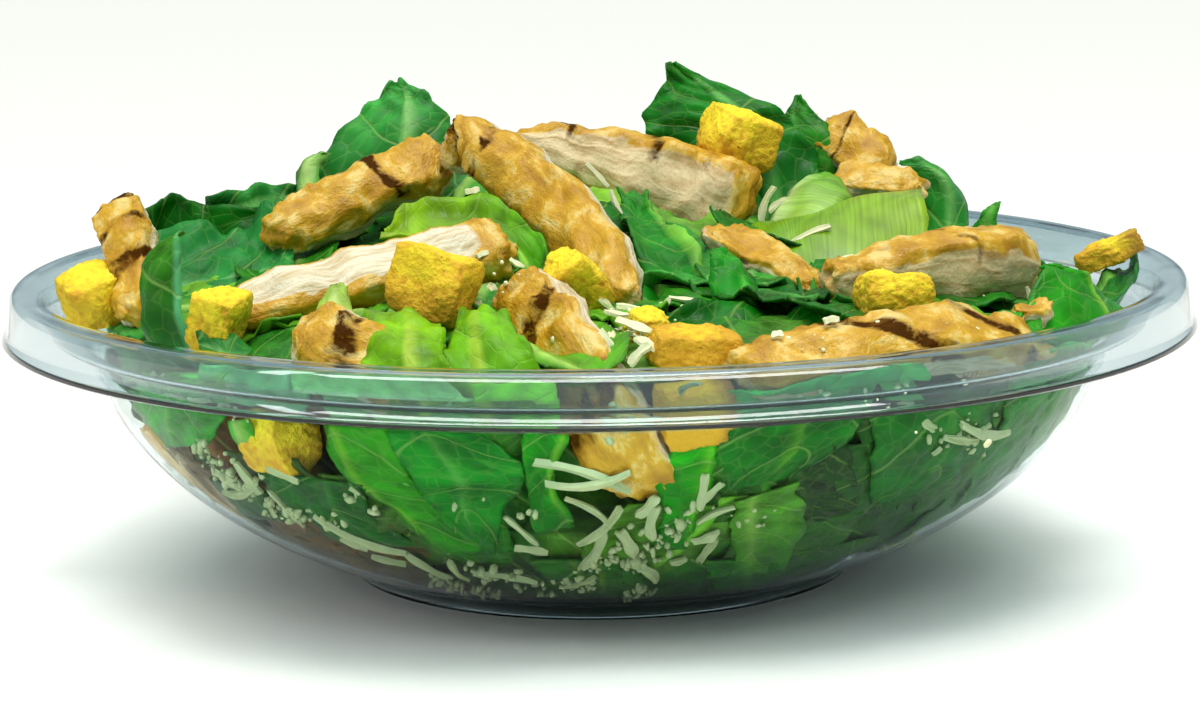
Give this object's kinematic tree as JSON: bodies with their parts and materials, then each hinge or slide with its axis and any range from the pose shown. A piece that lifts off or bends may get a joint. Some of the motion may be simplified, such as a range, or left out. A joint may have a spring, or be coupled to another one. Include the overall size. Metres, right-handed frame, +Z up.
{
  "type": "chicken salad",
  "caption": "Leaf salad with grilled chicken slices, croutons and cheese shreds, heaped in a clear round plastic bowl with a deep rim band and a low foot ring.",
  "frame": {"origin": "centre of the circle the bowl's foot ring stands on", "axes": "+Z up along the bowl's axis, -Y towards the front that the picture shows"},
  "size_m": [0.2278, 0.2278, 0.0946],
  "materials": {
    "clear_bowl": "clear, glossy",
    "romaine": "leafy, slightly waxy",
    "grilled_chicken": "seared, moist",
    "toasted_bread": "dry, crumbly"
  },
  "bodies": {
    "root": {"bowl": "clear_bowl", "lettuce": "romaine", "chicken_01": "grilled_chicken", "chicken_02": "grilled_chicken", "chicken_03": "grilled_chicken", "chicken_04": "grilled_chicken", "chicken_05": "grilled_chicken", "chicken_06": "grilled_chicken", "chicken_07": "grilled_chicken", "chicken_08": "grilled_chicken", "chicken_09": "grilled_chicken", "chicken_10": "grilled_chicken", "chicken_11": "grilled_chicken", "chicken_12": "grilled_chicken", "chicken_13": "grilled_chicken", "chicken_14": "grilled_chicken", "chicken_15": "grilled_chicken", "chicken_16": "grilled_chicken", "chicken_17": "grilled_chicken", "chicken_18": "grilled_chicken", "crouton_01": "toasted_bread", "crouton_02": "toasted_bread", "crouton_03": "toasted_bread", "crouton_04": "toasted_bread", "crouton_05": "toasted_bread", "crouton_06": "toasted_bread", "crouton_07": "toasted_bread", "crouton_08": "toasted_bread", "crouton_09": "toasted_bread", "crouton_10": "toasted_bread", "crouton_11": "toasted_bread", "crouton_12": "toasted_bread", "crouton_13": "toasted_bread", "crouton_14": "toasted_bread", "crouton_15": "toasted_bread"}
  },
  "joints": []
}
